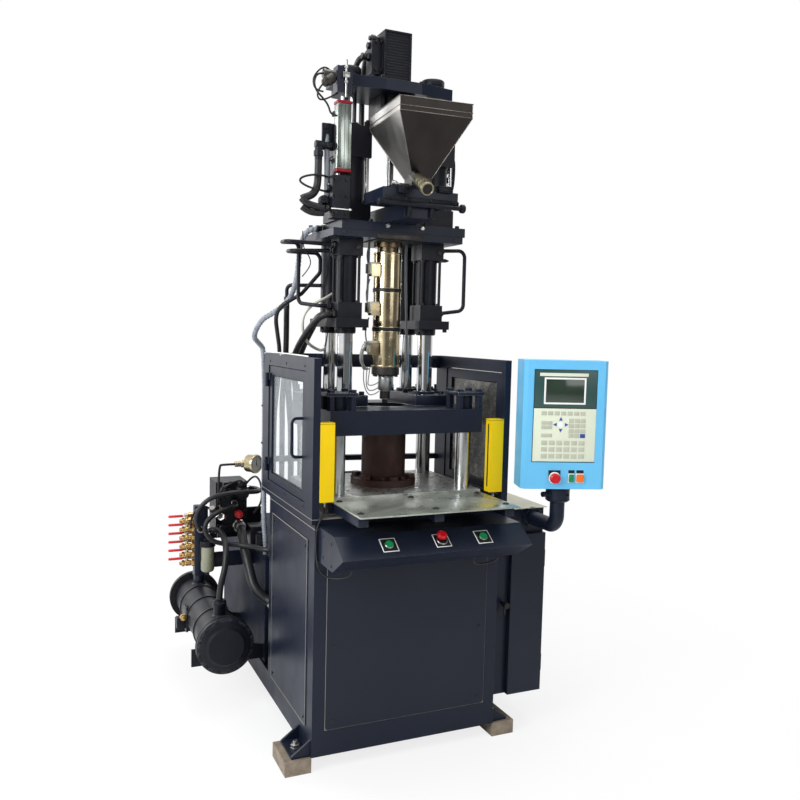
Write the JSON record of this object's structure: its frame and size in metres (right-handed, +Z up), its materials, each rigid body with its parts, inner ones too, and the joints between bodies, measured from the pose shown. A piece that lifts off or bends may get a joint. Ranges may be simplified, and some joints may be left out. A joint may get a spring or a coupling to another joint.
{
  "type": "injection moulding machine",
  "caption": "Vertical injection moulding machine: tie-bar clamp under a table, heated barrel with hopper, side guards, two-hand console and a swivelling control panel.",
  "frame": {"origin": "on the floor, under the middle of the machine's length, on the injection axis across", "axes": "+Z is up, +X is the operator's right, +Y runs from the operator to the back"},
  "size_m": [1.564, 1.895, 2.903],
  "materials": {
    "aluminium": "satin",
    "black_plastic": "matt",
    "black_rubber": "smooth hose rubber",
    "blue_paint": "fine-grained light blue enamel",
    "brass_body": "cast brass",
    "brown_steel": "dark brown surface rust over steel",
    "cast_grey": "grey cast iron",
    "chrome_rod": "polished chrome",
    "clear_window": "clear sheet",
    "cream_plastic": "matt membrane",
    "cylinder_paint": "semi-gloss dark paint",
    "gate_paint": "semi-gloss dark navy paint",
    "green_button": "glossy",
    "heater_metal": "polished yellowish metal",
    "hopper_steel": "stainless sheet",
    "navy_paint": "semi-gloss dark navy paint",
    "orange_button": "glossy",
    "plate_steel": "ground steel with machining marks",
    "red_button": "glossy",
    "red_lever": "red vinyl sleeve",
    "sheet_steel": "oiled, blotchy steel sheet",
    "stainless": "brushed stainless sheet",
    "yellow_plastic": "yellow enamel"
  },
  "bodies": {
    "frame": {"base_frame": "navy_paint", "front_access_panel": "navy_paint", "foot_blocks": "cast_grey", "oil_tank": "navy_paint", "pump_motor": "cylinder_paint", "table_plate": "plate_steel", "cover_sheet": "sheet_steel", "support_column": "brown_steel", "guard_frame": "navy_paint", "light_curtains": "yellow_plastic", "control_console": "navy_paint", "hmi_arm": "navy_paint", "electrical_cabinet": "navy_paint", "oil_cooler": "navy_paint", "water_manifold": "brass_body", "pressure_gauge": "stainless", "valve_block": "cylinder_paint", "clamp_cylinder": "cylinder_paint", "base_hoses": "black_rubber", "lower_hoses": "black_rubber"},
    "left_guard_door": {"left_door": "gate_paint", "left_door_window": "clear_window"},
    "right_guard_door": {"right_door": "gate_paint", "right_door_window": "clear_window"},
    "left_start": {"left_start_button": "green_button"},
    "right_start": {"right_start_button": "green_button"},
    "console_stop": {"console_stop_button": "red_button"},
    "hmi": {"hmi_housing": "blue_paint", "hmi_panel": "cream_plastic"},
    "hmi_stop": {"hmi_stop_button": "red_button"},
    "hmi_green": {"hmi_green_button": "green_button"},
    "hmi_orange": {"hmi_orange_button": "orange_button"},
    "switchgear_door": {"cabinet_door": "navy_paint"},
    "door_latch": {"cabinet_latch": "black_plastic"},
    "oil_knob": {"pressure_knob": "red_lever"},
    "clamp": {"upper_platen": "navy_paint", "tie_bars": "chrome_rod", "lower_crosshead": "cast_grey", "carriage_rods": "chrome_rod", "upper_hoses": "black_rubber"},
    "carriage": {"carriage_cylinders": "cylinder_paint", "injection_plate": "navy_paint", "barrel": "plate_steel", "heater_bands": "heater_metal", "nozzle": "plate_steel", "feed_block": "navy_paint", "hopper": "hopper_steel", "injection_cylinders": "cylinder_paint", "transducer": "aluminium", "crosshead_hoses": "black_rubber"},
    "injection": {"crosshead": "navy_paint", "injection_rods": "chrome_rod", "drive_motor": "cylinder_paint"},
    "screw_body": {"screw": "plate_steel"},
    "lever_1": {"valve_lever_1": "red_lever"},
    "lever_2": {"valve_lever_2": "red_lever"},
    "lever_3": {"valve_lever_3": "red_lever"},
    "lever_4": {"valve_lever_4": "red_lever"},
    "lever_5": {"valve_lever_5": "red_lever"},
    "lever_6": {"valve_lever_6": "red_lever"}
  },
  "joints": [
    {"name": "clamp_slide", "type": "slide", "parent": "frame", "child": "clamp", "axis": [0, 0, 1], "range_m": [0, 0.2], "deforming": ["lower_hoses"]},
    {"name": "carriage_slide", "type": "slide", "parent": "clamp", "child": "carriage", "axis": [0, 0, 1], "range_m": [-0.026, 0.1], "deforming": ["upper_hoses"]},
    {"name": "injection_slide", "type": "slide", "parent": "carriage", "child": "injection", "axis": [0, 0, 1], "range_m": [-0.02, 0.115], "deforming": ["crosshead_hoses"]},
    {"name": "screw_spin", "type": "hinge", "parent": "injection", "child": "screw_body", "pos_m": [0, -0.369, 2.58], "axis": [0, 0, 1], "continuous": true},
    {"name": "left_guard_hinge", "type": "hinge", "parent": "frame", "child": "left_guard_door", "pos_m": [-0.421, -0.035, 1.28], "axis": [0, 0, 1], "range_deg": [-110, 0]},
    {"name": "right_guard_hinge", "type": "hinge", "parent": "frame", "child": "right_guard_door", "pos_m": [0.442, -0.147, 1.28], "axis": [0, 0, 1], "range_deg": [0, 110]},
    {"name": "left_start_press", "type": "slide", "parent": "frame", "child": "left_start", "axis": [0, 0.5647, -0.8253], "range_m": [0, 0.003], "stiffness_N_per_m": 900, "springref_m": -0.002},
    {"name": "right_start_press", "type": "slide", "parent": "frame", "child": "right_start", "axis": [0, 0.5647, -0.8253], "range_m": [0, 0.003], "stiffness_N_per_m": 900, "springref_m": -0.002},
    {"name": "console_stop_press", "type": "slide", "parent": "frame", "child": "console_stop", "axis": [0, 0.5647, -0.8253], "range_m": [0, 0.005], "stiffness_N_per_m": 1200, "springref_m": -0.002},
    {"name": "hmi_swivel", "type": "hinge", "parent": "frame", "child": "hmi", "pos_m": [0.59, -0.806, 1.3], "axis": [0, 0, 1], "range_deg": [-75, 75]},
    {"name": "hmi_stop_press", "type": "slide", "parent": "hmi", "child": "hmi_stop", "axis": [0.3256, 0.9455, 0], "range_m": [0, 0.005], "stiffness_N_per_m": 1200, "springref_m": -0.002},
    {"name": "hmi_green_press", "type": "slide", "parent": "hmi", "child": "hmi_green", "axis": [0.3256, 0.9455, 0], "range_m": [0, 0.003], "stiffness_N_per_m": 900, "springref_m": -0.002},
    {"name": "hmi_orange_press", "type": "slide", "parent": "hmi", "child": "hmi_orange", "axis": [0.3256, 0.9455, 0], "range_m": [0, 0.003], "stiffness_N_per_m": 900, "springref_m": -0.002},
    {"name": "switchgear_hinge", "type": "hinge", "parent": "frame", "child": "switchgear_door", "pos_m": [0.656, -0.628, 0.5], "axis": [0, 0, 1], "range_deg": [0, 120]},
    {"name": "latch_turn", "type": "hinge", "parent": "frame", "child": "door_latch", "pos_m": [0.455, -0.64, 0.558], "axis": [0, 1, 0], "range_deg": [-90, 0]},
    {"name": "lever_1_turn", "type": "hinge", "parent": "frame", "child": "lever_1", "pos_m": [-0.711, 0.278, 0.62], "axis": [0, 0, 1], "range_deg": [0, 90]},
    {"name": "lever_2_turn", "type": "hinge", "parent": "frame", "child": "lever_2", "pos_m": [-0.711, 0.278, 0.66], "axis": [0, 0, 1], "range_deg": [0, 90]},
    {"name": "lever_3_turn", "type": "hinge", "parent": "frame", "child": "lever_3", "pos_m": [-0.711, 0.278, 0.7], "axis": [0, 0, 1], "range_deg": [0, 90]},
    {"name": "lever_4_turn", "type": "hinge", "parent": "frame", "child": "lever_4", "pos_m": [-0.711, 0.278, 0.74], "axis": [0, 0, 1], "range_deg": [0, 90]},
    {"name": "lever_5_turn", "type": "hinge", "parent": "frame", "child": "lever_5", "pos_m": [-0.711, 0.278, 0.78], "axis": [0, 0, 1], "range_deg": [0, 90]},
    {"name": "lever_6_turn", "type": "hinge", "parent": "frame", "child": "lever_6", "pos_m": [-0.711, 0.278, 0.82], "axis": [0, 0, 1], "range_deg": [0, 90]},
    {"name": "oil_knob_turn", "type": "hinge", "parent": "frame", "child": "oil_knob", "pos_m": [-0.462, 0.3277, 0.808], "axis": [0, 1, 0], "range_deg": [0, 270]}
  ]
}
